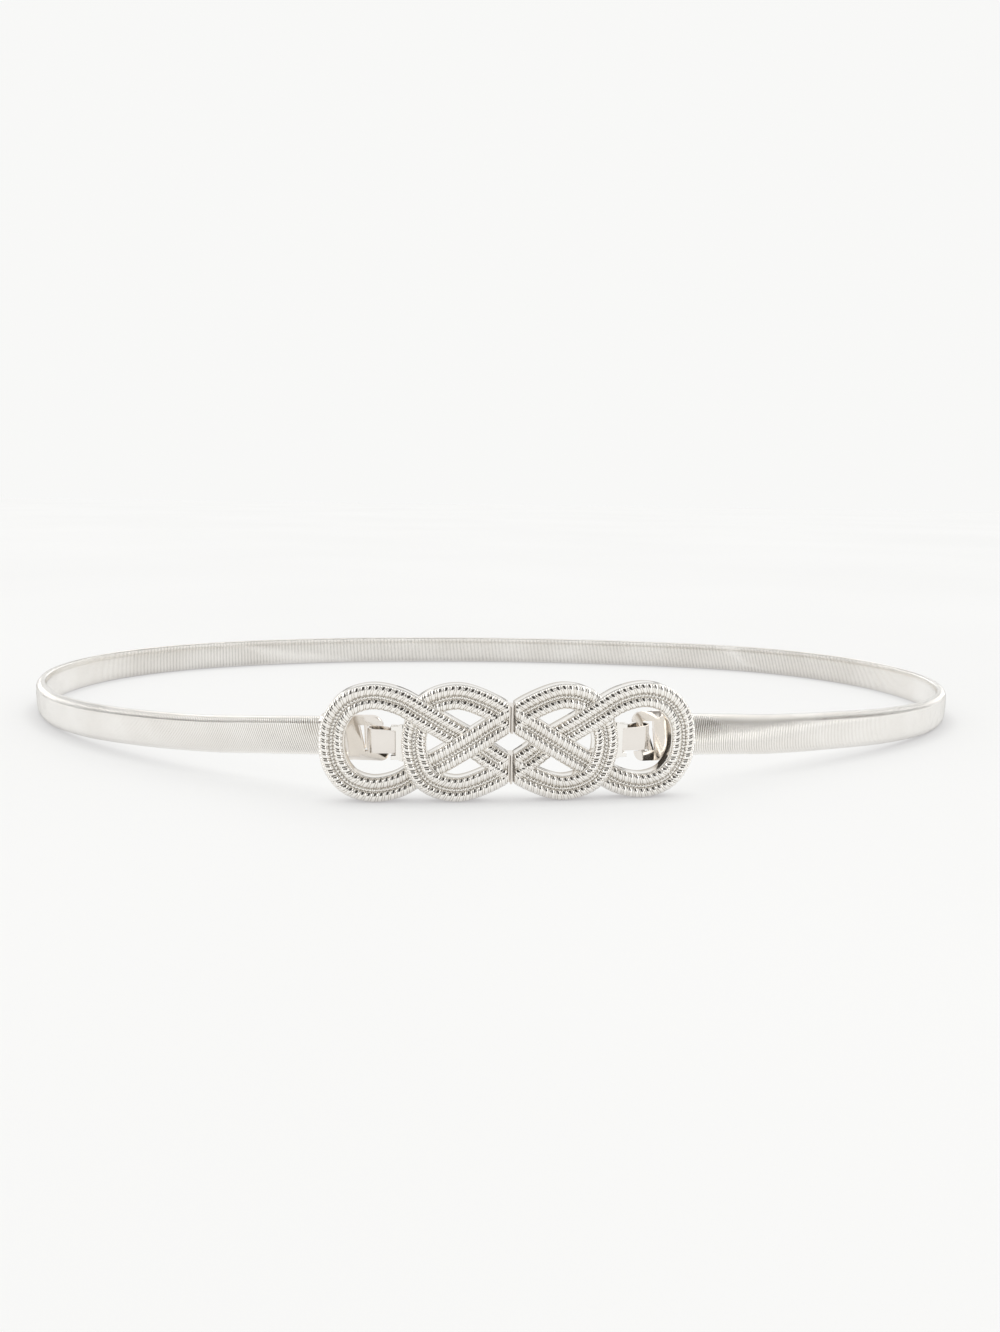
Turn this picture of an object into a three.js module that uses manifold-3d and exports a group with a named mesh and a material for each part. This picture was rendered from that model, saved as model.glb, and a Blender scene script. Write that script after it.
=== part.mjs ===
// Stretch waist belt: a flattened coil band closed at the front by a cast buckle in two plaited halves.
// Millimetres, +Z up, the front of the buckle faces -Y, and the belt stands on the plane z = 0.
import * as THREE from 'three';
import { mergeVertices } from 'three/addons/utils/BufferGeometryUtils.js';
import Module from 'manifold-3d';

const wasm = await Module();
wasm.setup();

// Clearance kept between separate pieces
const gap = 0.3;

// Coil band
const bandHeight = 10;
const bandThickness = 2.9;
const bandSteps = 92;
const bandStraightEnd = 4;

// Buckle halves
const buckleHeight = 27;
const strandHalfWidth = 2.85;
const strandStep = 1.75;
const seamGap = 1.1;

// Place of the seam between the halves, measured from the middle of the footprint
const seamX = -4.95;
const seamY = -92.28;
const backPlaneY = 2.3;

// Bar on two short arms at the outer edge of each half's inner strand, which carries the hook strap
const barOut = 26.15;
const barBack = -0.5;
const barRadius = 0.6;
const barHalfHeight = 3.75;
const armStart = 22.9;
const armHeight = 0.8;

// Hook strap, a closed loop of sheet metal round the bar and through the end plate's slot,
// a little wider at the plate
const strapSheet = 0.45;
const strapBarHeight = 5.2;
const strapPlateHeight = 5.6;
const strapBarRadius = 1.3;
const strapPlateRadius = 2.1;
const strapArcSteps = 12;

// End plates: a slotted tab with two round lobes, a dished shoulder and the sleeve that holds the band
const plateSheet = 0.8;
const plateHeight = 11.5;
const plateLobe = 0.7;
const plateNotch = 0.6;
const plateNotchHalf = 3.3;
const plateCorner = 2.3;
const plateArcSteps = 5;
const slotStart = 2.0;
const slotEnd = 5.3;
const slotHalfHeight = 3.45;
const shoulderStart = 7.4;
const shoulderHollow = 3.4;
const shoulderSteps = 5;
const shoulderSideSteps = 8;
const shoulderInset = 0.1;
const sleeveStart = 9.6;
const sleeveEnd = 14.2;
const sleeveWall = 0.55;
const sleeveEndWall = 0.8;

// Hidden clasp behind the seam, with the upper half of its outline and its studs
const claspGap = 0.7;
const claspThickness = 1.2;
const studRadius = 0.8;
const studDepth = 1.2;
const claspCorners = [
  { right: -12.2, up: 0 },
  { right: -1.5, up: 8.3 },
  { right: 3.7, up: 8.3 },
  { right: 3.7, up: 3.4 },
  { right: -1.6, up: 3.4 },
  { right: -7.2, up: 0 },
];
const studPlaces = [
  { right: -5.0, up: 3.3 },
  { right: -5.0, up: -3.3 },
  { right: 2.3, up: 5.6 },
  { right: 2.3, up: -5.6 },
];
const roundSides = 10;

// Plan of the loop behind the buckle, from the left sleeve round the back to the right sleeve,
// as offsets from the seam, with the height of the band's lower edge above the floor and
// the lean of the band's upper edge towards the outside of the loop, in degrees
const loopPlan = [
  { right: -58, back: 17.6, lift: 6.3, lean: 17 },
  { right: -72.5, back: 26, lift: 4.6, lean: 16 },
  { right: -93, back: 41, lift: 2.6, lean: 11 },
  { right: -112, back: 58, lift: 1.1, lean: 4 },
  { right: -127, back: 77, lift: 0.2, lean: 0 },
  { right: -137.2, back: 100, lift: 0, lean: 0 },
  { right: -138.5, back: 124.5, lift: 0, lean: 0 },
  { right: -129, back: 147.5, lift: 0, lean: 0 },
  { right: -110.5, back: 164.5, lift: 0, lean: 0 },
  { right: -88, back: 175, lift: 0, lean: 0 },
  { right: -52, back: 183.2, lift: 0, lean: 0 },
  { right: -14, back: 185.4, lift: 0, lean: 0 },
  { right: 24, back: 183.3, lift: 0, lean: 0 },
  { right: 61, back: 177.2, lift: 0, lean: 0 },
  { right: 85, back: 171.2, lift: 0, lean: 0 },
  { right: 109, back: 161.8, lift: 0, lean: 0 },
  { right: 129, back: 147.2, lift: 0, lean: 0 },
  { right: 143, back: 127.8, lift: 0, lean: 0 },
  { right: 149, back: 103.5, lift: 0, lean: 0 },
  { right: 144, back: 79, lift: 0, lean: 0 },
  { right: 130, back: 59.8, lift: 0.1, lean: 0 },
  { right: 111, back: 45, lift: 1.1, lean: -2 },
  { right: 89.5, back: 33, lift: 2.7, lean: -6 },
  { right: 68, back: 22.5, lift: 4.5, lean: -11 },
  { right: 56, back: 17, lift: 6.0, lean: -13 },
];

// The two halves of the buckle: bend of the half away from the other, length of the hook strap and
// place of the plate along it, and how both hang from the bar, in degrees: turned back from
// the half's plane, the plate drooping to the floor and its upper edge leaning to the front
const halves = [
  { name: 'left', side: -1, bend: 2, reach: 4.35, plateStart: 2.7, rise: 0.4, turn: 22, droop: 4, lean: 17 },
  { name: 'right', side: 1, bend: 4, reach: 5.0, plateStart: 4.0, rise: 0, turn: 21, droop: 4.5, lean: -15 },
];

// Half of a strand's section: the share of its half width, and the height in front of the back plane
const strandProfile = [
  { across: 1, forward: 0 },
  { across: 1, forward: 3.0 },
  { across: 0.88, forward: 3.2 },
  { across: 0.7, forward: 4.2 },
  { across: 0.36, forward: 4.35 },
  { across: 0.12, forward: 3.55 },
];

// Strand centre lines of one buckle half: distance out from the seam, height above the middle,
// and how far the strand rises in front of its neighbours (negative where it passes under)
const outerStrand = [
  { out: -0.8, up: -6.3, rise: 0 },
  { out: 3.4, up: -3.8, rise: 0.2 },
  { out: 9.3, up: 0, rise: -0.6 },
  { out: 14.6, up: 3.4, rise: 0 },
  { out: 20.0, up: 6.8, rise: 0.5 },
  { out: 25.2, up: 9.6, rise: 0.1 },
  { out: 31.0, up: 10.65, rise: 0 },
  { out: 36.1, up: 8.95, rise: 0 },
  { out: 39.1, up: 5.0, rise: 0 },
  { out: 39.95, up: 0, rise: 0 },
  { out: 39.1, up: -5.0, rise: 0 },
  { out: 36.1, up: -8.95, rise: 0 },
  { out: 31.0, up: -10.65, rise: 0 },
  { out: 25.2, up: -9.6, rise: 0 },
  { out: 20.0, up: -6.8, rise: -0.6 },
  { out: 14.6, up: -3.4, rise: 0 },
  { out: 9.3, up: 0, rise: 0.5 },
  { out: 3.4, up: 3.8, rise: 0.2 },
  { out: -0.8, up: 6.3, rise: 0 },
];
const innerStrand = [
  { out: -0.8, up: 4.9, rise: 0 },
  { out: 4.4, up: 8.2, rise: 0 },
  { out: 11.7, up: 10.65, rise: 0 },
  { out: 17.4, up: 9.2, rise: -0.3 },
  { out: 20.0, up: 6.6, rise: -0.6 },
  { out: 21.7, up: 0, rise: 0 },
  { out: 20.0, up: -6.6, rise: 0.5 },
  { out: 17.4, up: -9.2, rise: 0.3 },
  { out: 11.7, up: -10.65, rise: 0 },
  { out: 4.4, up: -8.2, rise: 0 },
  { out: -0.8, up: -4.9, rise: 0 },
];

const metal = {
  coil: new THREE.MeshStandardMaterial({ color: 0xd9d6d0, roughness: 0.22, metalness: 1 }),
  cast: new THREE.MeshStandardMaterial({ color: 0xdedbd5, roughness: 0.16, metalness: 1 }),
  sheet: new THREE.MeshStandardMaterial({ color: 0xe2dfda, roughness: 0.12, metalness: 1 }),
};

const rad = THREE.MathUtils.degToRad;

// Joins and cuts of closed meshes
const mergeDistance = 1e-4;

function toSolid(geometry) {
  const bare = geometry.clone();
  bare.deleteAttribute('normal');
  bare.deleteAttribute('uv');
  const merged = mergeVertices(bare, mergeDistance);
  return new wasm.Manifold(new wasm.Mesh({
    numProp: 3,
    vertProperties: Float32Array.from(merged.attributes.position.array),
    triVerts: Uint32Array.from(merged.index.array),
  }));
}

function toGeometry(solid) {
  const mesh = solid.getMesh();
  const geometry = new THREE.BufferGeometry();
  geometry.setAttribute('position', new THREE.BufferAttribute(mesh.vertProperties, 3));
  geometry.setIndex(new THREE.BufferAttribute(mesh.triVerts, 1));
  const flat = geometry.toNonIndexed();
  flat.computeVertexNormals();
  return flat;
}

function join(geometries) {
  return geometries.map(toSolid).reduce((sum, part) => sum.add(part));
}

// A section extruded in equal steps, each step moved to its own place by a function of
// the section's two coordinates and the share of the length
function sweep(section, steps, place) {
  const geometry = new THREE.ExtrudeGeometry(section, { steps, depth: 1, bevelEnabled: false });
  const position = geometry.attributes.position;
  const point = new THREE.Vector3();
  for (let i = 0; i < position.count; i += 1) {
    point.fromBufferAttribute(position, i);
    const moved = place(point.x, point.y, Math.round(point.z * steps) / steps);
    position.setXYZ(i, moved.x, moved.y, moved.z);
  }
  return geometry;
}

// Turns a mesh inside out where a mirrored frame has flipped its faces
function facingOut(geometry) {
  const position = geometry.attributes.position;
  const a = new THREE.Vector3();
  const b = new THREE.Vector3();
  const c = new THREE.Vector3();
  let volume = 0;
  for (let i = 0; i < position.count; i += 3) {
    a.fromBufferAttribute(position, i);
    b.fromBufferAttribute(position, i + 1);
    c.fromBufferAttribute(position, i + 2);
    volume += a.dot(b.cross(c));
  }
  if (volume > 0) {
    return geometry;
  }
  for (let i = 0; i < position.count; i += 3) {
    a.fromBufferAttribute(position, i);
    c.fromBufferAttribute(position, i + 2);
    position.setXYZ(i, c.x, c.y, c.z);
    position.setXYZ(i + 2, a.x, a.y, a.z);
  }
  return geometry;
}

// Upright section with round ends and a narrow flat facet at the top and bottom,
// and its straight sides cut into a number of steps
const capTurn = 30;

function stadiumPoints(height, thickness, sideSteps = 1) {
  const radius = thickness / 2;
  const corner = radius / Math.cos(rad(capTurn / 2));
  const straight = height / 2 - radius;
  const points = [];
  for (const end of [1, -1]) {
    for (let turn = capTurn / 2; turn < 180; turn += capTurn) {
      const across = end * corner * Math.cos(rad(turn));
      const up = end * (straight + corner * Math.sin(rad(turn)));
      points.push(new THREE.Vector2(across, up));
    }
    for (let step = 0; step <= sideSteps && sideSteps > 1; step += 1) {
      points.push(new THREE.Vector2(-end * radius, end * straight * (1 - (2 * step) / sideSteps)));
    }
  }
  return points;
}

// Buckle halves
function strandSection() {
  const points = strandProfile.map((row) => new THREE.Vector2(row.across * strandHalfWidth, -row.forward));
  const mirrored = points.map((point) => new THREE.Vector2(-point.x, point.y)).reverse();
  return new THREE.Shape([...points, ...mirrored]);
}

function strand(rows, side, from, to) {
  const points = rows.map((row) => new THREE.Vector3(row.out, row.up, row.rise));
  const path = new THREE.CatmullRomCurve3(points, false, 'centripetal');
  const steps = Math.round(path.getLength() * (to - from) / strandStep);
  return facingOut(sweep(strandSection(), steps, (across, depth, share) => {
    const place = from + share * (to - from);
    const centre = path.getPointAt(place);
    const along = path.getTangentAt(place).setZ(0).normalize();
    const out = centre.x - across * along.y;
    const up = centre.y + across * along.x;
    const front = depth < 0 ? depth - centre.z : 0;
    return { x: side * out, y: front, z: up };
  }));
}

// Upright bar with its two arms, which reach into the inner strand's edge
function strapBar(side) {
  const bar = new THREE.CylinderGeometry(barRadius, barRadius, 2 * barHalfHeight, roundSides);
  bar.rotateX(Math.PI / 2);
  bar.translate(side * barOut, barBack, 0);
  const arms = [1, -1].map((end) => {
    const arm = new THREE.BoxGeometry(barOut - armStart, barRadius, armHeight);
    return arm.translate(side * (barOut + armStart) / 2, barBack, end * (barHalfHeight - armHeight / 2));
  });
  return [bar, ...arms];
}

// Round peg from front to back, used for the clasp's studs and the blind holes that they sit in
function peg(radius, front, back, place) {
  const geometry = new THREE.CylinderGeometry(radius, radius, back - front, roundSides);
  return geometry.translate(place.right, (front + back) / 2, place.up);
}

function buckleHalf(side) {
  let solid = join([
    strand(outerStrand, side, 0, 0.5),
    strand(outerStrand, side, 0.5, 1),
    strand(innerStrand, side, 0, 1),
    ...strapBar(side),
  ]);
  const beyondSeam = new THREE.BoxGeometry(2 * buckleHeight, 2 * buckleHeight, 2 * buckleHeight);
  beyondSeam.translate(side * (seamGap / 2 - buckleHeight), 0, 0);
  solid = solid.subtract(toSolid(beyondSeam));
  for (const place of studPlaces) {
    if (Math.sign(place.right) === side) {
      const hole = peg(studRadius + gap, -studDepth - gap, claspThickness, place);
      solid = solid.subtract(toSolid(hole));
    }
  }
  return toGeometry(solid);
}

// Clasp: a plain bracket that lies behind the two crossing strands of the left half and
// reaches behind the right half's ends
function claspHook() {
  const upper = claspCorners.map((corner) => new THREE.Vector2(corner.right, corner.up));
  const lower = claspCorners.slice(1, -1).map((corner) => new THREE.Vector2(corner.right, -corner.up));
  const outline = new THREE.Shape([...upper, ...lower.reverse()]);
  const bracket = new THREE.ExtrudeGeometry(outline, { depth: claspThickness, bevelEnabled: false });
  bracket.rotateX(Math.PI / 2);
  bracket.translate(0, claspGap + claspThickness, 0);
  const studs = studPlaces.map((place) => peg(studRadius, -studDepth, claspGap + claspThickness / 2, place));
  return toGeometry(join([bracket, ...studs]));
}

// Hook strap: the loop's outline seen from above, a small arc at the bar and a larger one at the plate
function strapOutline(target, reach, barArc, plateArc) {
  const slant = Math.asin((plateArc - barArc) / reach);
  const start = Math.PI / 2 + slant;
  target.absarc(0, 0, barArc, start, 2 * Math.PI - start, false);
  target.absarc(reach, 0, plateArc, -start, start, false);
  target.closePath();
  return target;
}

function hookStrap(side, reach) {
  const outline = strapOutline(new THREE.Shape(), reach, strapBarRadius, strapPlateRadius);
  const barInside = strapBarRadius - strapSheet;
  const plateInside = strapPlateRadius - strapSheet;
  outline.holes.push(strapOutline(new THREE.Path(), reach, barInside, plateInside));
  const geometry = new THREE.ExtrudeGeometry(outline, {
    depth: 1,
    bevelEnabled: false,
    curveSegments: strapArcSteps,
  });
  geometry.translate(0, 0, -0.5);
  const position = geometry.attributes.position;
  for (let i = 0; i < position.count; i += 1) {
    const height = THREE.MathUtils.lerp(strapBarHeight, strapPlateHeight, position.getX(i) / reach);
    position.setZ(i, position.getZ(i) * height);
  }
  geometry.scale(side, 1, 1);
  return facingOut(geometry);
}

// End plate's tab, with its lobes and slot
function plateOutline() {
  const half = plateHeight / 2;
  const r = plateCorner;
  const shape = new THREE.Shape();
  shape.moveTo(sleeveStart + sleeveEndWall / 2, -half);
  shape.lineTo(sleeveStart + sleeveEndWall / 2, half);
  shape.lineTo(r - plateLobe, half);
  shape.absarc(r - plateLobe, half - r, r, Math.PI / 2, Math.PI, false);
  shape.lineTo(-plateLobe, plateNotchHalf);
  shape.lineTo(plateNotch, plateNotchHalf);
  shape.lineTo(plateNotch, -plateNotchHalf);
  shape.lineTo(-plateLobe, -plateNotchHalf);
  shape.absarc(r - plateLobe, r - half, r, Math.PI, 1.5 * Math.PI, false);
  shape.closePath();
  shape.holes.push(new THREE.Path([
    new THREE.Vector2(slotStart, -slotHalfHeight),
    new THREE.Vector2(slotEnd, -slotHalfHeight),
    new THREE.Vector2(slotEnd, slotHalfHeight),
    new THREE.Vector2(slotStart, slotHalfHeight),
  ]));
  return shape;
}

// Shoulder that swells from the tab to the sleeve in a hollow curve, starting nearer the slot
// at its upper and lower edges
function plateShoulder(height, thickness) {
  const section = new THREE.Shape(stadiumPoints(height, thickness, shoulderSideSteps));
  const end = sleeveStart + sleeveEndWall / 2;
  const startThickness = plateSheet - shoulderInset;
  return sweep(section, shoulderSteps, (across, up, share) => {
    const start = shoulderStart - shoulderHollow * (2 * up / height) ** 2;
    const swell = 1 - Math.sqrt(1 - share ** 2);
    return {
      x: THREE.MathUtils.lerp(start, end, share),
      y: across * THREE.MathUtils.lerp(startThickness / thickness, 1, swell),
      z: up * THREE.MathUtils.lerp(1 - shoulderInset / height, 1, share),
    };
  });
}

function endPlate(side) {
  const sheet = new THREE.ExtrudeGeometry(plateOutline(), {
    depth: plateSheet,
    bevelEnabled: false,
    curveSegments: plateArcSteps,
  });
  sheet.translate(0, 0, -plateSheet / 2);
  sheet.rotateX(Math.PI / 2);
  const grow = 2 * (gap + sleeveWall);
  const ring = stadiumPoints(bandHeight + grow, bandThickness + grow);
  const fullRing = new THREE.Shape(ring);
  const wall = new THREE.ExtrudeGeometry(fullRing, { depth: sleeveEndWall, bevelEnabled: false });
  const hollowRing = new THREE.Shape(ring);
  hollowRing.holes.push(new THREE.Path(stadiumPoints(bandHeight + 2 * gap, bandThickness + 2 * gap)));
  const sleeve = new THREE.ExtrudeGeometry(hollowRing, {
    depth: sleeveEnd - sleeveStart - sleeveEndWall / 2,
    bevelEnabled: false,
  });
  for (const piece of [wall, sleeve]) {
    piece.rotateX(Math.PI / 2);
    piece.rotateZ(Math.PI / 2);
  }
  wall.translate(sleeveStart, 0, 0);
  sleeve.translate(sleeveStart + sleeveEndWall / 2, 0, 0);
  const shoulder = facingOut(plateShoulder(bandHeight + grow, bandThickness + grow));
  const geometry = toGeometry(join([sheet, shoulder, wall, sleeve]));
  geometry.scale(side, 1, 1);
  return facingOut(geometry);
}

// Coil band: one closed solid of the flattened coil's outer form
function coilBand(stations) {
  const path = new THREE.CatmullRomCurve3(stations.map((row) => row.centre), false, 'centripetal');
  const leans = new THREE.CatmullRomCurve3(stations.map((row) => new THREE.Vector3(row.lean, 0, 0)));
  const section = new THREE.Shape(stadiumPoints(bandHeight, bandThickness));
  const vertical = new THREE.Vector3(0, 0, 1);
  return facingOut(sweep(section, bandSteps, (across, up, share) => {
    const centre = path.getPointAt(share);
    centre.z = Math.max(centre.z, bandHeight / 2);
    const along = path.getTangentAt(share);
    const outward = new THREE.Vector3().crossVectors(vertical, along).normalize();
    const lean = rad(leans.getPoint(path.getUtoTmapping(share)).x);
    const upward = new THREE.Vector3().crossVectors(along, outward).applyAxisAngle(along, -lean);
    outward.applyAxisAngle(along, -lean);
    return centre.addScaledVector(outward, across).addScaledVector(upward, up);
  }));
}

function named(name, geometry, material) {
  const mesh = new THREE.Mesh(geometry, material);
  mesh.name = name;
  return mesh;
}

const belt = new THREE.Group();
const buckle = new THREE.Group();
buckle.position.set(seamX, seamY + backPlaneY, buckleHeight / 2);
belt.add(buckle);
buckle.add(named('clasp_hook', claspHook(), metal.sheet));

const bandEnds = {};
for (const half of halves) {
  const frame = new THREE.Group();
  frame.rotation.z = half.side * rad(half.bend);
  buckle.add(frame);
  frame.add(named(`buckle_${half.name}`, buckleHalf(half.side), metal.cast));
  const fitting = new THREE.Group();
  fitting.position.set(half.side * barOut, barBack, 0);
  fitting.rotation.z = half.side * rad(half.turn);
  frame.add(fitting);
  fitting.add(named(`hook_strap_${half.name}`, hookStrap(half.side, half.reach), metal.sheet));
  const plate = named(`end_plate_${half.name}`, endPlate(half.side), metal.sheet);
  plate.position.set(half.side * half.plateStart, 0, half.rise);
  plate.rotation.set(rad(half.lean), half.side * rad(half.droop), 0, 'YXZ');
  fitting.add(plate);
  belt.updateMatrixWorld(true);
  const alongPlate = [sleeveStart + sleeveEndWall + gap, sleeveEnd, sleeveEnd + bandStraightEnd];
  bandEnds[half.name] = alongPlate.map((out) => ({
    centre: plate.localToWorld(new THREE.Vector3(half.side * out, 0, 0)),
    lean: half.lean,
  }));
}

const loopStations = loopPlan.map((row) => ({
  centre: new THREE.Vector3(seamX + row.right, seamY + row.back, bandHeight / 2 + row.lift),
  lean: row.lean,
}));
const bandStations = [...bandEnds.left, ...loopStations, ...bandEnds.right.reverse()];
belt.add(named('coil_band', coilBand(bandStations), metal.coil));

export default belt;
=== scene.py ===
"""Looks of the stretch waist belt: the band's wound coil, the corded buckle and the fittings.

Sizes below are millimetres in the part's own frame, and meshes are written in metres.
"""

import math
from collections import namedtuple

import bmesh
import bpy
import numpy as np
from mathutils import Matrix, Vector


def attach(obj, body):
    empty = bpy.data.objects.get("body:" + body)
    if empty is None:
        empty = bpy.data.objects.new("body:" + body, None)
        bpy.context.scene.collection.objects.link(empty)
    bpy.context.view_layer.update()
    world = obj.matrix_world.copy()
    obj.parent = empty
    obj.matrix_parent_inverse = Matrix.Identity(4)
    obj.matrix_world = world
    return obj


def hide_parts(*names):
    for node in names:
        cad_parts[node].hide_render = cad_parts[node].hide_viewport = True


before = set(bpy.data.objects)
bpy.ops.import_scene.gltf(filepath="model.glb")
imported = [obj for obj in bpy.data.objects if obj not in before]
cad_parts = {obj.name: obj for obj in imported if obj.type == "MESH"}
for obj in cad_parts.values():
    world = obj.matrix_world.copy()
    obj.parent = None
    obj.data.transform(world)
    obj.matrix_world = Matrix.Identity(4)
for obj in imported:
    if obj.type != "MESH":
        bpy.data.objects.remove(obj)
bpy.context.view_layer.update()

MM = 0.001
BODY = "root"

# Place of the seam between the buckle halves, and of the plane at the back of the halves
SEAM_X = -4.95
SEAM_Y = -92.28
BACK_PLANE = 2.3
BUCKLE_HEIGHT = 27.0
SEAM_GAP = 1.1

# Strap bar of each half, and the stations of the band in and behind the sleeve of the end plate
BAR_OUT = 26.15
BAR_BACK = -0.5
BAR_RADIUS = 0.6
BAR_HALF_HEIGHT = 3.75
ARM_START = 22.9
ARM_HEIGHT = 0.8
ROD_SIDES = 16
SLEEVE_STATIONS = (10.7, 14.2, 18.2)

# Band's outer form
BAND_HEIGHT = 10.0
BAND_THICKNESS = 2.9

# Halves: side of the seam, bend away from it in degrees, where the end plate starts and how far it
# rises, and the turn, droop and lean of the plate in degrees
Half = namedtuple("Half", "name side bend plate_start rise turn droop lean")
HALVES = [
    Half("left", -1, 2, 2.7, 0.4, 22, 4, 17),
    Half("right", 1, 4, 4.0, 0, 21, 4.5, -15),
]

# Plan of the loop behind the buckle, as offsets from the seam, with the height of the band's
# lower edge above the floor and the lean of its upper edge to the outside in degrees
Station = namedtuple("Station", "right back lift lean")
LOOP_PLAN = [
    Station(-58, 17.6, 6.3, 17),
    Station(-72.5, 26, 4.6, 16),
    Station(-93, 41, 2.6, 11),
    Station(-112, 58, 1.1, 4),
    Station(-127, 77, 0.2, 0),
    Station(-137.2, 100, 0, 0),
    Station(-138.5, 124.5, 0, 0),
    Station(-129, 147.5, 0, 0),
    Station(-110.5, 164.5, 0, 0),
    Station(-88, 175, 0, 0),
    Station(-52, 183.2, 0, 0),
    Station(-14, 185.4, 0, 0),
    Station(24, 183.3, 0, 0),
    Station(61, 177.2, 0, 0),
    Station(85, 171.2, 0, 0),
    Station(109, 161.8, 0, 0),
    Station(129, 147.2, 0, 0),
    Station(143, 127.8, 0, 0),
    Station(149, 103.5, 0, 0),
    Station(144, 79, 0, 0),
    Station(130, 59.8, 0.1, 0),
    Station(111, 45, 1.1, -2),
    Station(89.5, 33, 2.7, -6),
    Station(68, 22.5, 4.5, -11),
    Station(56, 17, 6.0, -13),
]

# Strand centre lines of one half: distance out from the seam, height above the middle,
# and how far the strand rises over its neighbour, negative where it dips under it
Strand = namedtuple("Strand", "out up rise")
OUTER_STRAND = [
    Strand(-0.8, -6.3, 0),
    Strand(3.4, -3.8, 0.1),
    Strand(9.3, 0, -1.1),
    Strand(14.6, 3.4, 0),
    Strand(20.0, 6.8, 0.5),
    Strand(25.2, 9.6, 0.1),
    Strand(31.0, 10.65, 0),
    Strand(36.1, 8.95, 0),
    Strand(39.1, 5.0, 0),
    Strand(39.95, 0, 0),
    Strand(39.1, -5.0, 0),
    Strand(36.1, -8.95, 0),
    Strand(31.0, -10.65, 0),
    Strand(25.2, -9.6, 0),
    Strand(20.0, -6.8, -1.1),
    Strand(14.6, -3.4, 0),
    Strand(9.3, 0, 0.5),
    Strand(3.4, 3.8, 0.2),
    Strand(-0.8, 6.3, 0),
]
INNER_STRAND = [
    Strand(-0.8, 4.9, 0),
    Strand(4.4, 8.2, 0),
    Strand(11.7, 10.65, 0),
    Strand(17.4, 9.2, -0.5),
    Strand(20.0, 6.6, -1.1),
    Strand(21.7, 0, 0),
    Strand(20.0, -6.6, 0.5),
    Strand(17.4, -9.2, 0.3),
    Strand(11.7, -10.65, 0),
    Strand(4.4, -8.2, 0),
    Strand(-0.8, -4.9, 0),
]

# Painted shade in the relief's grooves and on the cut ends in the seam, on a scale from 0 to 1
RELIEF_SHADE = 0.6
CUT_SHADE = 0.55

# Bed of a strand: half of its section, across and forward of the back plane, and the painted shade
# there, darker near the back
Profile = namedtuple("Profile", "across forward tone")
BED_PROFILE = [
    Profile(2.70, 0, 0),
    Profile(2.85, 0.1, 0.65),
    Profile(2.85, 1.5, 0.42),
    Profile(2.85, 2.90, 0),
    Profile(2.85, 3.0, 0),
    Profile(2.83, 3.05, 0),
    Profile(2.78, 3.08, 0),
    Profile(2.60, 3.05, 0),
]
BED_STEP = 0.6

# Beds of a half: strand, from and to which share of its length, and where its back lies, each a
# little in front of the one before so that no two backs share a plane
BEDS = [("outer", 0, 0.5, 0), ("outer", 0.5, 1, 0.03), ("inner", 0, 1, 0.06)]

# Ribs across a ridge: width, depth of the grooves at its sides, how flat its top is, and its steps
Rib = namedtuple("Rib", "width depth flatness steps")
WIDE_RIB = Rib(0.93, 0.16, 5, (-1, -0.93, -0.84, -0.72, -0.5, 0, 0.5, 0.72, 0.84, 0.93))
NARROW_RIB = Rib(0.52, 0.16, 2, (-1, -0.6, 0, 0.6))
BEAD_RIB = Rib(0.80, 0.15, 2, (-1, -0.5, 0, 0.5))

# Ridges of each strand: two corded ones, and a row of small beads in the valley between them
Ridge = namedtuple("Ridge", "offset half_width foot shoulder crest steps slant ribs")
RIDGES = [
    Ridge(1.55, 1.17, 2.6, 3.50, 4.15, 8, 18, (WIDE_RIB, NARROW_RIB)),
    Ridge(-1.55, 1.17, 2.6, 3.50, 4.15, 8, 18, (WIDE_RIB, NARROW_RIB)),
    Ridge(0, 0.40, 2.6, 3.25, 3.7, 4, -10, (BEAD_RIB,)),
]

# Lug beside each hook strap, in front of its end: the lower half of its outline, out from the seam
# and up, and its depths
LUG_CORNERS = [
    (24.10, -4.30),
    (24.75, -4.20),
    (25.25, -3.90),
    (26.80, -3.90),
    (26.80, -2.85),
    (25.75, -2.75),
]
LUG_DEPTHS = (-2.0, -2.4, -2.6)
LUG_EDGE = 0.1

# Angles in degrees beyond which an edge stays crisp
BUCKLE_CRISP = 42
BENT_CRISP = 50
SHEET_CRISP = 35

# Tongue behind each plate's slot: its folded section out from the slot and to the back, in the
# plate's frame, with its heights and how far back each of them lies
TONGUE_FRONT = [
    (3.95, 0.15),
    (4.15, 0.02),
    (4.40, 0.00),
    (4.60, 0.12),
    (4.85, 0.30),
    (5.10, 0.32),
    (5.35, 0.18),
    (5.60, 0.00),
]
TONGUE_SHEET = 0.3
TONGUE_ENDS = [(-3.4, 0.7), (1.7, 2.6)]

# Upright bars of the clasp between the halves: section, to the right and to the back, and heights
POST_SECTION = [
    (-0.50, 1.0),
    (-0.58, -2.20),
    (-0.54, -2.26),
    (-0.20, -2.28),
    (-0.18, -3.90),
    (-0.10, -4.00),
    (0.05, -4.04),
    (0.20, -4.00),
    (0.28, -3.90),
    (0.30, -2.28),
    (0.64, -2.26),
    (0.68, -2.20),
    (0.50, 1.0),
]
POST_HEIGHTS = [(2.5, 8.6), (-9.1, -2.5)]

# Rounding of the edges of the sheet metal, and how near two of its points are to be one
PLATE_EDGE = 0.18
STRAP_EDGE = 0.1
CLASP_EDGE = 0.2
EDGE_SEGMENTS = 3
SAME_POINT = 0.002
FLAT_ANGLE = 1

# Wound coil of the band: how far a turn slants over the band's height, how far its sides bow
# out, and the width and rise of its corners on the outer and on the inner side
COIL_PITCH = 0.57
WIRE_RADIUS = 0.275
WIRE_SIDES = 6
OUTER_CORNER = (1.4, 1.7)
INNER_CORNER = (0.35, 0.35)
CORNER_STEPS = 3
COIL_SLANT = 0.5
COIL_BOW = 0.12
COIL_PIECES = ("coil_left", "coil_right")

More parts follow.
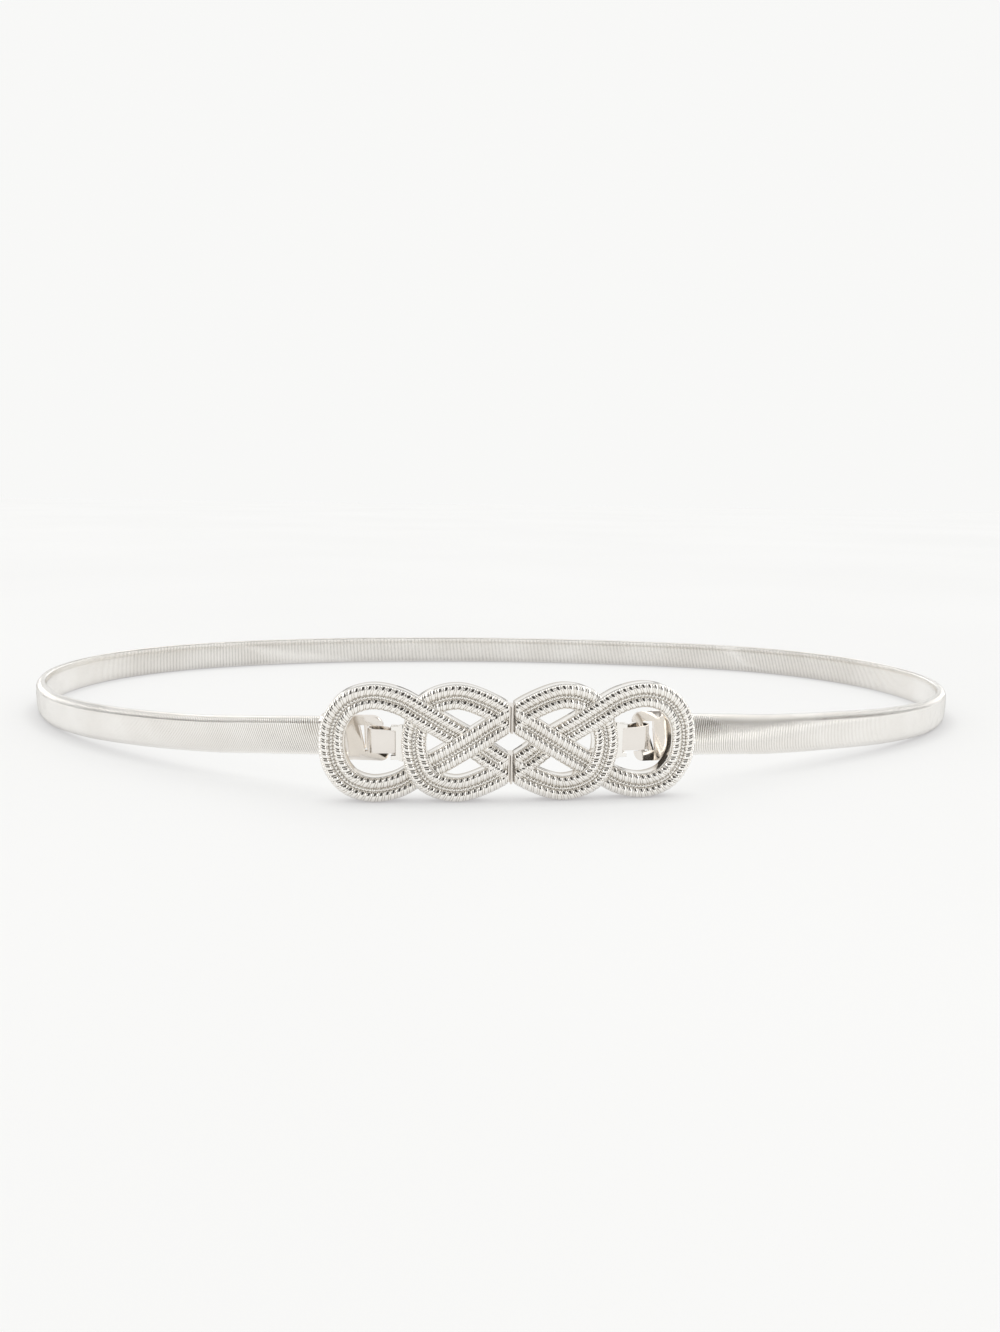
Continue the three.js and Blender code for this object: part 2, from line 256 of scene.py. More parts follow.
# Points of a curve between two of its rows, and the distance below which two rows are the same
CURVE_STEPS = 60
SAME_ROW = 1e-8


def curve(rows):
    """Dense points on the smooth curve through rows of numbers, the same number for each span."""
    points = np.asarray(rows, float).reshape(len(rows), -1)
    ends = (2 * points[0] - points[1], 2 * points[-1] - points[-2])
    run = np.vstack([ends[0], points, ends[1]])
    share = np.linspace(0, 1, CURVE_STEPS, endpoint=False)[:, None]
    spans = []
    for before, start, stop, after in zip(run, run[1:], run[2:], run[3:]):
        middle = knot(start, stop) or 1.0
        first = knot(before, start) or middle
        last = knot(stop, after) or middle
        leave = (start - before) / first - (stop - before) / (first + middle) + (stop - start) / middle
        arrive = (stop - start) / middle - (after - start) / (middle + last) + (after - stop) / last
        leave, arrive = leave * middle, arrive * middle
        square = -3 * start + 3 * stop - 2 * leave - arrive
        cube = 2 * start - 2 * stop + leave + arrive
        spans.append(start + leave * share + square * share**2 + cube * share**3)
    return np.vstack([*spans, points[-1:]])


def knot(start, stop):
    """Knot distance between two points of the curve, none where they are the same."""
    distance = float(np.linalg.norm(stop - start))
    return math.sqrt(distance) if distance > SAME_ROW else 0.0


def lengths(points):
    """Distance along a run of points at each of them."""
    return np.concatenate([[0], np.cumsum(np.linalg.norm(np.diff(points, axis=0), axis=1))])


def unit(vectors):
    return vectors / np.linalg.norm(vectors, axis=-1, keepdims=True)


def at(places, known, values):
    """Values of a dense run, read at other places along it."""
    return np.stack([np.interp(places, known, column) for column in values.T], axis=-1)


def transformed(points, matrix):
    m = np.array(matrix)
    return points @ m[:3, :3].T + m[:3, 3]


class Shell:
    """Closed tubes gathered in one mesh, with each point's amount of painted shade, for the relief's
    grooves, the cut ends, the beds' backs and the wire's flanks.
    """

    def __init__(self):
        self.points = []
        self.shade_amounts = []
        self.faces = []
        self.count = 0

    def add(self, rings, shade_amounts=None):
        """A tube through rings of points, an array of rings by points by three, with closed ends."""
        steps, around = rings.shape[:2]
        index = self.count + np.arange(steps * around).reshape(steps, around)
        ahead = np.roll(index, -1, axis=1)
        quads = np.stack([index[:-1], ahead[:-1], ahead[1:], index[1:]], axis=-1).reshape(-1, 4)
        ends = [index[0][::-1], index[-1]]
        if self.volume(rings) < 0:
            quads = quads[:, ::-1]
            ends = [end[::-1] for end in ends]
        self.faces += quads.tolist() + [end.tolist() for end in ends]
        self.points.append(rings.reshape(-1, 3))
        # Amount of painted shade at each point, none where none is given
        depth = np.broadcast_to(0.0 if shade_amounts is None else shade_amounts, (steps, around))
        self.shade_amounts.append(depth.reshape(-1))
        self.count += steps * around

    @staticmethod
    def volume(rings):
        """Sum whose sign says whether the tube's faces look outwards."""
        centre = rings.mean(axis=1, keepdims=True)
        a = rings[:-1] - centre[:-1]
        b = np.roll(rings, -1, axis=1)[:-1] - centre[:-1]
        c = rings[1:] - centre[:-1]
        return float(np.einsum("ijk,ijk->", np.cross(a, b), c))

    def build(self, name, sharp=None):
        """The mesh as an object, with edges sharper than an angle in degrees kept crisp."""
        mesh = bpy.data.meshes.new(name)
        mesh.from_pydata((np.vstack(self.points) * MM).tolist(), [], self.faces)
        # This point attribute holds the painted shade for the plating's material
        depth = mesh.attributes.new("shade_amount", "FLOAT", "POINT")
        depth.data.foreach_set("value", np.concatenate(self.shade_amounts).astype(np.float32))
        mesh.polygons.foreach_set("use_smooth", [True] * len(mesh.polygons))
        if sharp is not None:
            mesh.set_sharp_from_angle(angle=math.radians(sharp))
        mesh.update()
        return placed(bpy.data.objects.new(name, mesh))


def placed(obj):
    """Puts an object in the scene and on the part's only body."""
    bpy.context.scene.collection.objects.link(obj)
    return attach(obj, BODY)


# Frames of the buckle halves and of the fittings on them


def half_matrix(half):
    middle = Matrix.Translation((SEAM_X, SEAM_Y + BACK_PLANE, BUCKLE_HEIGHT / 2))
    return middle @ Matrix.Rotation(half.side * math.radians(half.bend), 4, "Z")


def plate_matrix(half):
    hang = Matrix.Translation((half.side * BAR_OUT, BAR_BACK, 0))
    turn = Matrix.Rotation(half.side * math.radians(half.turn), 4, "Z")
    out = Matrix.Translation((half.side * half.plate_start, 0, half.rise))
    droop = Matrix.Rotation(half.side * math.radians(half.droop), 4, "Y")
    lean = Matrix.Rotation(math.radians(half.lean), 4, "X")
    return half_matrix(half) @ hang @ turn @ out @ droop @ lean


# Band


def band_stations():
    """Centre and lean of the band, from the left sleeve round the back to the right sleeve."""
    left, right = (
        [
            (*(plate_matrix(half) @ Vector((half.side * out, 0, 0))), half.lean)
            for out in SLEEVE_STATIONS
        ]
        for half in HALVES
    )
    loop = [
        (SEAM_X + row.right, SEAM_Y + row.back, BAND_HEIGHT / 2 + row.lift, row.lean)
        for row in LOOP_PLAN
    ]
    return left + loop + right[::-1]


class Band:
    """The band's centre line with the directions of its section along the whole loop."""

    def __init__(self):
        stations = np.array(band_stations())
        centre = curve(stations[:, :3])
        lean = np.radians(curve(stations[:, 3:]))[:, 0]
        centre[:, 2] = np.maximum(centre[:, 2], BAND_HEIGHT / 2)
        along = unit(np.gradient(centre, axis=0))
        outward = unit(np.cross((0, 0, 1), along))
        upward = np.cross(along, outward)
        cos, sin = np.cos(lean)[:, None], np.sin(lean)[:, None]
        self.place = lengths(centre)
        self.length = self.place[-1]
        self.centre = centre
        self.outward = outward * cos - upward * sin
        self.upward = upward * cos + outward * sin

    def point(self, place, across, up):
        centre = at(place, self.place, self.centre)
        outward, upward = self.directions(place)
        return centre + outward * across[:, None] + upward * up[:, None]

    def directions(self, place):
        return at(place, self.place, self.outward), at(place, self.place, self.upward)


def coil_turn():
    """One turn of the coil seen along the band: across, up and outward direction of each point."""
    middle = BAND_THICKNESS / 2 - WIRE_RADIUS
    bend = middle - COIL_BOW
    top = BAND_HEIGHT / 2 - WIRE_RADIUS
    quarter = np.linspace(0, math.pi / 2, CORNER_STEPS + 1)
    corners = {1: OUTER_CORNER, -1: INNER_CORNER}
    turn = []
    for end in (1, -1):
        for side, angles in ((end, quarter), (-end, quarter[::-1])):
            width, rise = corners[side]
            for angle in angles:
                x, z = side * math.cos(angle), end * math.sin(angle)
                across = side * (bend - width) + width * x
                turn.append((across, end * (top - rise) + rise * z, rise * x, width * z))
        straight = top - corners[-end][1]
        for share in (0.5, 0, -0.5):
            across = -end * (middle - COIL_BOW * share**2)
            slope = 2 * COIL_BOW * share / straight
            turn.append((across, end * straight * share, -end, end * slope))
    return np.array(turn)


def build_coil(band):
    """The close-wound wire, in pieces of equal length."""
    turn = coil_turn()
    per_turn = len(turn)
    turns = int((band.length - 2 * WIRE_RADIUS - COIL_SLANT) / COIL_PITCH)
    start = (band.length - turns * COIL_PITCH) / 2
    share = np.arange(turns * per_turn + 1)
    across, up, side, top = turn[share % per_turn].T
    place = start + COIL_PITCH * share / per_turn + COIL_SLANT * up / BAND_HEIGHT
    centre = band.point(place, across, up)
    outward, upward = band.directions(place)
    normal = unit(outward * side[:, None] + upward * top[:, None])
    along = unit(np.gradient(centre, axis=0))
    sideways = unit(np.cross(along, normal))
    angles = 2 * math.pi * np.arange(WIRE_SIDES) / WIRE_SIDES
    cos = WIRE_RADIUS * np.cos(angles)[None, :, None]
    sin = WIRE_RADIUS * np.sin(angles)[None, :, None]
    rings = centre[:, None] + normal[:, None] * cos + sideways[:, None] * sin
    # Painted shade on the flanks of each wire, where it lies against the next turn
    shade_amount = np.abs(np.sin(angles))[None, :]
    pieces = []
    count = len(COIL_PIECES)
    cuts = [round(turns * number / count) * per_turn for number in range(count + 1)]
    for name, first, last in zip(COIL_PIECES, cuts, cuts[1:]):
        shell = Shell()
        shell.add(rings[first : last + 1], shade_amount)
        pieces.append(shell.build(name))
    return pieces


# Buckle


class Path:
    """A strand's centre line on its half, or a line beside it, read at any place along it."""

    def __init__(self, dense, offset=0):
        along = unit(np.gradient(dense[:, :2], axis=0))
        aside = np.stack([-along[:, 1], along[:, 0], np.zeros(len(along))], axis=-1)
        self.dense = dense + offset * aside
        self.along = along
        self.place = lengths(self.dense)
        self.length = self.place[-1]

    def beside(self, offset):
        return Path(self.dense, offset)

    def read(self, places):
        """Out, up and rise of the centre, and the out and up of its direction."""
        centre = at(places.ravel(), self.place, self.dense).T.reshape(3, *places.shape)
        return centre, at(places.ravel(), self.place, self.along).T.reshape(2, *places.shape)


def on_half(path, places, across, forward, side):
    """Points of the half, x to the right, y to the back, z up, and which are cut off at the seam."""
    (out, up, rise), (go_out, go_up) = path.read(places)
    x = out - across * go_up
    z = up + across * go_out
    y = -np.where(forward > 0, forward + rise, forward)
    cut = x < SEAM_GAP / 2
    return np.stack([side * np.maximum(x, SEAM_GAP / 2), y, z], axis=-1), cut


def add_strand_part(shell, path, places, across, forward, side, matrix, tones):
    points, cut = on_half(path, places, across, forward, side)
    # Cut ends in the seam get painted shade, since the gap there is narrow and deep
    shell.add(transformed(points, matrix), np.where(cut, CUT_SHADE, tones))


def ridge_section(ridge):
    """Section of a ridge: across and forward of each point, and where it sinks in a groove."""
    rise = ridge.crest - ridge.shoulder
    radius = (ridge.half_width**2 + rise**2) / (2 * rise)
    tilt = math.asin(ridge.half_width / radius)
    tilts = np.linspace(tilt, -tilt, ridge.steps + 1)
    dome = np.stack([radius * np.sin(tilts), ridge.crest - radius * (1 - np.cos(tilts))], axis=-1)
    points = np.vstack([(ridge.half_width, ridge.foot), dome, (-ridge.half_width, ridge.foot)])
    inward = np.vstack([(-1, 0), np.stack([-np.sin(tilts), -np.cos(tilts)], axis=-1), (1, 0)])
    return points, inward


def rib_run(length, ribs):
    """Places along a ridge, with the depth there and its share of the full depth of the grooves."""
    set_width = sum(rib.width for rib in ribs)
    sets = round(length / set_width)
    scale = length / (sets * set_width)
    places, depths, shares = [], [], []
    start = 0.0
    for number in range(sets * len(ribs)):
        rib = ribs[number % len(ribs)]
        step = np.array(rib.steps)
        share = np.abs(step) ** rib.flatness
        places.append(start + rib.width * scale * (step + 1) / 2)
        depths.append(rib.depth * share)
        shares.append(share)
        start += rib.width * scale
    return np.concatenate(places), np.concatenate(depths), np.concatenate(shares)


def add_ridge(shell, path, ridge, side, matrix):
    points, inward = ridge_section(ridge)
    places, depths, shares = rib_run(path.length, ridge.ribs)
    shape = (len(places), len(points))
    sunk = points[None] + inward[None] * depths[:, None, None]
    slanted = places[:, None] - points[None, :, 0] * math.tan(math.radians(ridge.slant))
    # Painted shade, deepening towards the bottom of each groove between the ribs
    tones = np.broadcast_to(RELIEF_SHADE * shares[:, None], shape)
    add_strand_part(shell, path, slanted, sunk[..., 0], sunk[..., 1], side, matrix, tones)


def add_bed(shell, path, side, share_from, share_to, back, matrix):
    count = int(path.length * (share_to - share_from) / BED_STEP)
    places = np.linspace(share_from, share_to, count) * path.length
    # The profile's tones paint shade on the bed's sides near the back plane
    profile = [(row.across, max(row.forward, back), row.tone) for row in BED_PROFILE]
    profile += [(-across, forward, tone) for across, forward, tone in profile[::-1]]
    shape = (len(places), len(profile))
    spread = np.broadcast_to(places[:, None], shape)
    across, forward, tones = (np.broadcast_to(column, shape) for column in np.array(profile).T)
    add_strand_part(shell, path, spread, across, forward, side, matrix, tones)


def add_rod(shell, start, stop, radius, matrix):
    start, stop = np.array(start, float), np.array(stop, float)
    along = unit(stop - start)
    aside = unit(np.cross(along, (0, 1, 0)))
    third = np.cross(along, aside)
    angles = 2 * math.pi * np.arange(ROD_SIDES) / ROD_SIDES
    ring = radius * (np.cos(angles)[:, None] * aside + np.sin(angles)[:, None] * third)
    rings = np.stack([start + ring, stop + ring])
    shell.add(transformed(rings, matrix))


def inset(outline, margin):
    """A counterclockwise outline with each of its sides moved inwards."""
    ahead = unit(np.roll(outline, -1, axis=0) - outline)
    inward = np.column_stack([-ahead[:, 1], ahead[:, 0]])
    before = np.roll(inward, 1, axis=0)
    return outline + margin * (inward + before) / (1 + np.sum(inward * before, axis=1, keepdims=True))


def add_lug(shell, side, matrix):
    """Upright lug on the inner strand's edge, with its front edges rounded off."""
    corners = np.array(LUG_CORNERS + [(out, -up) for out, up in LUG_CORNERS[::-1]])
    rings = []
    for outline, depth in zip((corners, corners, inset(corners, LUG_EDGE)), LUG_DEPTHS):
        back = np.full(len(outline), depth)
        rings.append(np.column_stack([side * outline[:, 0], back, outline[:, 1]]))
    shell.add(transformed(np.stack(rings), matrix))


def build_buckle(half):
    """One cast half: its strands, the bar and arms behind them, and the lug beside the strap."""
    matrix = half_matrix(half)
    paths = {"outer": Path(curve(OUTER_STRAND)), "inner": Path(curve(INNER_STRAND))}
    shell = Shell()
    for strand, share_from, share_to, back in BEDS:
        add_bed(shell, paths[strand], half.side, share_from, share_to, back, matrix)
    for path in paths.values():
        for ridge in RIDGES:
            add_ridge(shell, path.beside(ridge.offset), ridge, half.side, matrix)
    bar_x = half.side * BAR_OUT
    bar_ends = [(bar_x, BAR_BACK, up) for up in (-BAR_HALF_HEIGHT, BAR_HALF_HEIGHT)]
    add_rod(shell, *bar_ends, BAR_RADIUS, matrix)
    arm_x = half.side * ARM_START
    arm_up = BAR_HALF_HEIGHT - ARM_HEIGHT / 2
    for up in (arm_up, -arm_up):
        add_rod(shell, (arm_x, BAR_BACK, up), (bar_x, BAR_BACK, up), ARM_HEIGHT / 2, matrix)
    add_lug(shell, half.side, matrix)
    return shell.build(f"corded_{half.name}", sharp=BUCKLE_CRISP)


def build_seam_posts():
    """The clasp's two upright bars, which stand in the gap between the halves."""
    matrix = Matrix.Translation((SEAM_X, SEAM_Y + BACK_PLANE, BUCKLE_HEIGHT / 2))
    shell = Shell()
    section = np.array(POST_SECTION)
    for low, high in POST_HEIGHTS:
        rings = [np.column_stack([section, np.full(len(section), up)]) for up in (low, high)]
        shell.add(transformed(np.stack(rings), matrix))
    return shell.build("seam_posts", sharp=BENT_CRISP)


def build_tongue(half):
    """Folded tongue of sheet that shows through the plate's slot beside the strap."""
    front = np.array(TONGUE_FRONT)
    section = np.vstack([front, front[::-1] + (0, TONGUE_SHEET)])
    out = half.side * section[:, 0]
    rings = []
    for up, back in TONGUE_ENDS:
        rings.append(np.column_stack([out, section[:, 1] + back, np.full(len(section), up)]))
    shell = Shell()
    shell.add(transformed(np.stack(rings), plate_matrix(half)))
    return shell.build(f"tongue_{half.name}", sharp=BENT_CRISP)


# Fittings, as refined copies of the solids with rounded edges


def refined(node, name, bevel):
    """A copy of a solid's mesh with its faces joined up and its sharp edges rounded."""
    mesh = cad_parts[node].data.copy()
    mesh.name = name
    work = bmesh.new()
    work.from_mesh(mesh)
    bmesh.ops.remove_doubles(work, verts=work.verts, dist=SAME_POINT * MM)
    flat = math.radians(FLAT_ANGLE)
    bmesh.ops.dissolve_limit(work, angle_limit=flat, verts=work.verts, edges=work.edges)
    crisp = math.radians(SHEET_CRISP)
    inside = [edge for edge in work.edges if len(edge.link_faces) == 2]
    bmesh.ops.bevel(
        work,
        geom=[edge for edge in inside if edge.calc_face_angle(0) > crisp],
        offset=bevel * MM,
        segments=EDGE_SEGMENTS,
        profile=0.5,
        affect="EDGES",
        clamp_overlap=True,
    )
    bmesh.ops.triangulate(work, faces=[f for f in work.faces if len(f.verts) > 4])
    for face in work.faces:
        face.smooth = True
    work.to_mesh(mesh)
    work.free()
    mesh.materials.clear()
    mesh.set_sharp_from_angle(angle=crisp)
    return placed(bpy.data.objects.new(name, mesh))


# Materials: scales of the noise for the tone, the handling marks and the floor, and depth of bumps

TONE_SCALE = 60
MARK_SCALE = 900
MARK_STRETCH = (1, 1, 0.25)
NOISE_RANGE = (0.3, 0.7)
TONE_RANGE = (0.35, 0.65)
BUMP_DEPTH = 0.1
PAPER_SCALE = 3

# Each plating's tone varies at random between its shade and light colours, and its last ramp paints
# shade onto the colour where the mesh carries a shade amount
Plating = namedtuple("Plating", "name light shade roughness grain grain_strength patina")
WIRE = Plating(
    "wound_wire",
    light=(0.95, 0.935, 0.91),
    shade=(0.90, 0.88, 0.85),
    roughness=(0.05, 0.13),
    grain=2500,
    grain_strength=0.05,
    # Painted shade darkens the flanks of the wire, between its turns
    patina=[(0.7, (1, 1, 1)), (1.0, (0.86, 0.84, 0.81))],
)
CASTING = Plating(
    "corded_casting",
    light=(0.95, 0.93, 0.895),
    shade=(0.90, 0.875, 0.835),
    roughness=(0.06, 0.15),
    grain=3500,
    grain_strength=0.05,
    # Painted shade in the grooves, on the cut ends in the seam and on the beds' sides near the back
    patina=[(0.36, (1, 1, 1)), (0.6, (0.55, 0.51, 0.46)), (1.0, (0.36, 0.34, 0.32))],
)
SHEET = Plating(
    "polished_sheet",
    light=(0.87, 0.83, 0.785),
    shade=(0.81, 0.765, 0.715),
    roughness=(0.05, 0.16),
    grain=1500,
    grain_strength=0.03,
    patina=None,
)


class Nodes:
    """A material's node tree, with short calls to add and join nodes."""

    def __init__(self, name):
        self.material = bpy.data.materials.new(name)
        self.material.use_nodes = True
        self.tree = self.material.node_tree
        self.shader = self.tree.nodes["Principled BSDF"]

    def add(self, kind, **settings):
        node = self.tree.nodes.new(kind)
        for key, value in settings.items():
            setattr(node, key, value)
        return node

    def join(self, source, target):
        self.tree.links.new(source, target)

    def noise(self, scale, detail, stretch=(1, 1, 1)):
        """Noise in the part's own coordinates."""
        place = self.add("ShaderNodeTexCoord")
        spread = self.add("ShaderNodeMapping")
        spread.inputs["Scale"].default_value = stretch
        texture = self.add("ShaderNodeTexNoise")
        texture.inputs["Scale"].default_value = scale
        texture.inputs["Detail"].default_value = detail
        self.join(place.outputs["Object"], spread.inputs["Vector"])
        self.join(spread.outputs["Vector"], texture.inputs["Vector"])
        return texture.outputs["Fac"]

    def ramp(self, source, stops):
        """A colour ramp with stops of place and colour."""
        ramp = self.add("ShaderNodeValToRGB")
        elements = ramp.color_ramp.elements
        for number, (place, colour) in enumerate(stops):
            element = elements[number] if number < 2 else elements.new(place)
            element.position = place
            element.color = (*colour, 1)
        self.join(source, ramp.inputs["Fac"])
        return ramp.outputs["Color"]

    def spread(self, source, low, high):
        """The usual range of a noise, stretched to another range."""
        node = self.add("ShaderNodeMapRange")
        names = ("From Min", "From Max", "To Min", "To Max")
        for key, value in zip(names, (*NOISE_RANGE, low, high)):
            node.inputs[key].default_value = value
        self.join(source, node.inputs["Value"])
        return node.outputs["Result"]

    def darken(self, colour, amount):
        """Colour multiplied by a second colour."""
        mix = self.add("ShaderNodeMix", data_type="RGBA", blend_type="MULTIPLY")
        mix.inputs["Factor"].default_value = 1
        self.join(colour, mix.inputs["A"])
        self.join(amount, mix.inputs["B"])
        return mix.outputs["Result"]

    def bump(self, height, strength, distance):
        node = self.add("ShaderNodeBump")
        node.inputs["Strength"].default_value = strength
        node.inputs["Distance"].default_value = distance
        self.join(height, node.inputs["Height"])
        self.join(node.outputs["Normal"], self.shader.inputs["Normal"])


def plated(finish):
    """Bright plating: a slow change of tone, fine handling marks in the gloss, and painted shade where
    the mesh carries it, in the grooves, the seam and between the wire's turns.
    """
    nodes = Nodes(finish.name)
    shader = nodes.shader
    shader.inputs["Metallic"].default_value = 1
    tones = list(zip(TONE_RANGE, (finish.shade, finish.light)))
    tone = nodes.ramp(nodes.noise(TONE_SCALE, 3), tones)
    # Painted shade: the colour is darkened by the shade amount stored on the mesh, in grooves, gaps
    # and between the wire's turns
    if finish.patina:
        shade_amount = nodes.add("ShaderNodeAttribute", attribute_name="shade_amount")
        tone = nodes.darken(tone, nodes.ramp(shade_amount.outputs["Fac"], finish.patina))
    nodes.join(tone, shader.inputs["Base Color"])
    marks = nodes.noise(MARK_SCALE, 4, MARK_STRETCH)
    nodes.join(nodes.spread(marks, *finish.roughness), shader.inputs["Roughness"])
    nodes.bump(nodes.noise(finish.grain, 2), finish.grain_strength, BUMP_DEPTH * MM)
    return nodes.material


def finish_piece(obj, material, slot, *nodes):
    obj.data.materials.append(material)
    if nodes:
        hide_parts(*nodes)


# Stage: a light table that glows softly, a bright sky with a dark strip, and one soft sun.
# Zones of the sky lie between two angles up from the front, or beyond an angle to one side

STRIP_RISE = (12, 88)
STRIP_HALF_WIDTH = 33
PANEL_HALF_WIDTH = 43
PANEL_RISE = (6, 125)
LEFT_DARK_RISE = (14, 60)
RIGHT_DARK_RISE = (28, 75)
BACK_RISE = (176, 186)
SKY_SOFTNESS = 0.03
SKY_LIGHT = (0.94, 0.94, 0.93)
SKY_PANEL = (2.2, 2.2, 2.17)
SKY_BACK = (0.42, 0.41, 0.40)
SKY_SIDE_DARK = (0.34, 0.325, 0.315)
SKY_DARK = (0.065, 0.06, 0.055)

# Floor: its size in metres, its glow away from and close to the belt, and how far the contact
# shade reaches
FLOOR_SIZE = 8
FLOOR_SINK = 0.02
FLOOR_GLOW = (0.70, 0.70, 0.695)
FLOOR_CONTACT = (0.38, 0.37, 0.375)
FLOOR_SHADES = [(0.0, FLOOR_CONTACT), (0.9, FLOOR_GLOW)]
FLOOR_TONES = [(0.3, (0.20, 0.20, 0.198)), (0.7, (0.22, 0.22, 0.218))]
FLOOR_ROUGHNESS = 0.6
CONTACT_REACH = 7

# Sun: where it stands, its strength, its spread in degrees and its colour
SUN_PLACE = (0.1, 0.35, 1)
SUN_STRENGTH = 0.9
SUN_SPREAD = 70
SUN_COLOUR = (1, 0.99, 0.97)

# Pinhole camera: its place, its turn in degrees, pitch and roll in radians, and the focal length
# and long side of its picture in pixels
CAMERA_PLACE = (-26.80, -309.37, 69.89)
CAMERA_TURN = 5.04
CAMERA_PITCH = 0.1762
CAMERA_ROLL = 0.0146
FOCAL_PIXELS = 1000
LONG_SIDE = 1332
SENSOR_WIDTH = 36
NEAREST = 10


def build_sun():
    """Light from above and behind, seen in the shadows and not in the reflections."""
    data = bpy.data.lights.new("top_back", "SUN")
    data.energy = SUN_STRENGTH
    data.angle = math.radians(SUN_SPREAD)
    data.color = SUN_COLOUR
    light = bpy.data.objects.new("top_back", data)
    light.rotation_euler = (-Vector(SUN_PLACE)).to_track_quat("-Z", "Y").to_euler()
    light.visible_glossy = False
    bpy.context.scene.collection.objects.link(light)


def build_world():
    """A plain bright backdrop. The metal mirrors a studio instead: a dark strip that rises from
    the front, a brighter panel on each side of it, a dark zone below the outer part of each
    panel, and a thin grey zone at the horizon behind."""
    world = bpy.data.worlds.new("studio")
    bpy.context.scene.world = world
    world.use_nodes = True
    tree = world.node_tree
    link = tree.links.new
    direction = tree.nodes.new("ShaderNodeTexCoord").outputs["Generated"]

    def edge(normal, low, high):
        """Share of a direction beyond a plane through the middle, with a soft edge."""
        dot = tree.nodes.new("ShaderNodeVectorMath")
        dot.operation = "DOT_PRODUCT"
        dot.inputs[1].default_value = normal
        spread = tree.nodes.new("ShaderNodeMapRange")
        spread.interpolation_type = "SMOOTHSTEP"
        spread.inputs["From Min"].default_value = low
        spread.inputs["From Max"].default_value = high
        link(direction, dot.inputs[0])
        link(dot.outputs["Value"], spread.inputs["Value"])
        return spread.outputs["Result"]

    def both(first, second):
        product = tree.nodes.new("ShaderNodeMath")
        product.operation = "MULTIPLY"
        link(first, product.inputs[0])
        link(second, product.inputs[1])
        return product.outputs["Value"]

    def band(rise):
        """Share of a direction that lies between two angles up from the front."""
        low, high = (math.radians(angle) for angle in rise)
        above = edge((0, math.sin(low), math.cos(low)), -SKY_SOFTNESS, SKY_SOFTNESS)
        below = edge((0, -math.sin(high), -math.cos(high)), -SKY_SOFTNESS, SKY_SOFTNESS)
        return both(above, below)

    def mixed(share, outside, inside):
        mix = tree.nodes.new("ShaderNodeMix")
        mix.data_type = "RGBA"
        for socket, colour in ((mix.inputs["A"], outside), (mix.inputs["B"], inside)):
            if isinstance(colour, tuple):
                socket.default_value = (*colour, 1)
            else:
                link(colour, socket)
        link(share, mix.inputs["Factor"])
        return mix.outputs["Result"]

    def beside(side, angle):
        """Share of a direction that lies further to one side than an angle."""
        wide = math.sin(math.radians(angle))
        return edge((side, 0, 0), wide - SKY_SOFTNESS, wide + SKY_SOFTNESS)

    sky = mixed(band(STRIP_RISE), SKY_LIGHT, SKY_DARK)
    panel = mixed(band(PANEL_RISE), SKY_LIGHT, SKY_PANEL)
    for side, dark in ((-1, LEFT_DARK_RISE), (1, RIGHT_DARK_RISE)):
        high = mixed(band((dark[1], PANEL_RISE[1])), SKY_LIGHT, SKY_PANEL)
        sky = mixed(beside(side, STRIP_HALF_WIDTH), sky, panel)
        sky = mixed(beside(side, PANEL_HALF_WIDTH), sky, mixed(band(dark), high, SKY_SIDE_DARK))
    sky = mixed(band(BACK_RISE), sky, SKY_BACK)
    seen = tree.nodes.new("ShaderNodeLightPath").outputs["Is Camera Ray"]
    link(mixed(seen, sky, SKY_LIGHT), tree.nodes["Background"].inputs["Color"])


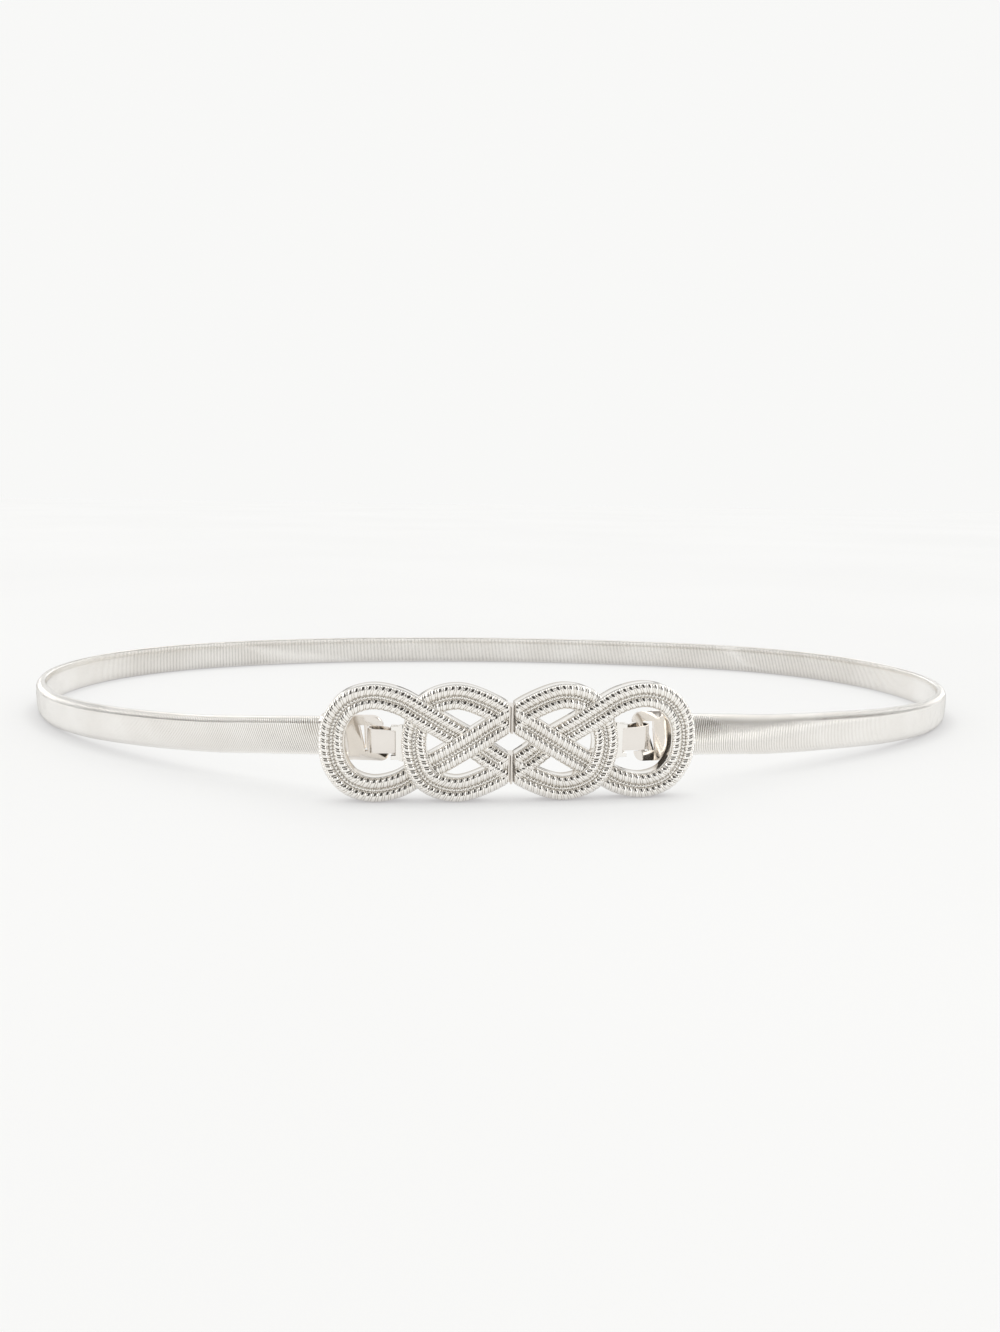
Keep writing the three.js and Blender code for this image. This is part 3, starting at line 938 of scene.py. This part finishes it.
def build_floor():
    """Pale paper that glows, with a soft shade where the belt stands close to it."""
    bpy.ops.mesh.primitive_plane_add(size=FLOOR_SIZE, location=(0, 0, -FLOOR_SINK * MM))
    floor = bpy.context.object
    floor.name = "floor"
    nodes = Nodes("floor_paper")
    nodes.shader.inputs["Roughness"].default_value = FLOOR_ROUGHNESS
    nodes.shader.inputs["Specular IOR Level"].default_value = 0
    contact = nodes.add("ShaderNodeAmbientOcclusion", samples=8)
    contact.inputs["Distance"].default_value = CONTACT_REACH * MM
    glow = nodes.ramp(contact.outputs["AO"], FLOOR_SHADES)
    nodes.join(glow, nodes.shader.inputs["Emission Color"])
    nodes.shader.inputs["Emission Strength"].default_value = 1
    tone = nodes.ramp(nodes.noise(PAPER_SCALE, 2), FLOOR_TONES)
    nodes.join(tone, nodes.shader.inputs["Base Color"])
    floor.data.materials.append(nodes.material)


def build_camera():
    turn, pitch, roll = math.radians(CAMERA_TURN), CAMERA_PITCH, CAMERA_ROLL
    flat = math.cos(pitch)
    ahead = Vector((math.sin(turn) * flat, math.cos(turn) * flat, -math.sin(pitch)))
    level = Vector((math.cos(turn), -math.sin(turn), 0))
    upright = level.cross(ahead)
    right = level * math.cos(roll) + upright * math.sin(roll)
    up = upright * math.cos(roll) - level * math.sin(roll)
    camera = bpy.data.objects.new("camera", bpy.data.cameras.new("camera"))
    axes = Matrix((right, up, -ahead)).transposed().to_4x4()
    camera.matrix_world = Matrix.Translation(Vector(CAMERA_PLACE) * MM) @ axes
    camera.data.sensor_width = SENSOR_WIDTH
    camera.data.lens = FOCAL_PIXELS / LONG_SIDE * SENSOR_WIDTH
    camera.data.clip_start = NEAREST * MM
    bpy.context.scene.collection.objects.link(camera)
    bpy.context.scene.camera = camera


# The whole picture

build_camera()
build_world()
build_sun()
build_floor()

wire_finish = plated(WIRE)
cast_finish = plated(CASTING)
sheet_finish = plated(SHEET)

for piece in build_coil(Band()):
    finish_piece(piece, wire_finish, "coil", "coil_band")
for half in HALVES:
    finish_piece(build_buckle(half), cast_finish, "cast", f"buckle_{half.name}")
    plate = refined(f"end_plate_{half.name}", f"plate_{half.name}", PLATE_EDGE)
    finish_piece(plate, sheet_finish, "sheet", f"end_plate_{half.name}")
    finish_piece(build_tongue(half), sheet_finish, "sheet", f"end_plate_{half.name}")
    strap = refined(f"hook_strap_{half.name}", f"strap_{half.name}", STRAP_EDGE)
    finish_piece(strap, sheet_finish, "sheet", f"hook_strap_{half.name}")
clasp = refined("clasp_hook", "clasp", CLASP_EDGE)
finish_piece(clasp, sheet_finish, "sheet", "clasp_hook")
finish_piece(build_seam_posts(), sheet_finish, "sheet", "clasp_hook")

bpy.context.scene.view_settings.view_transform = "Standard"
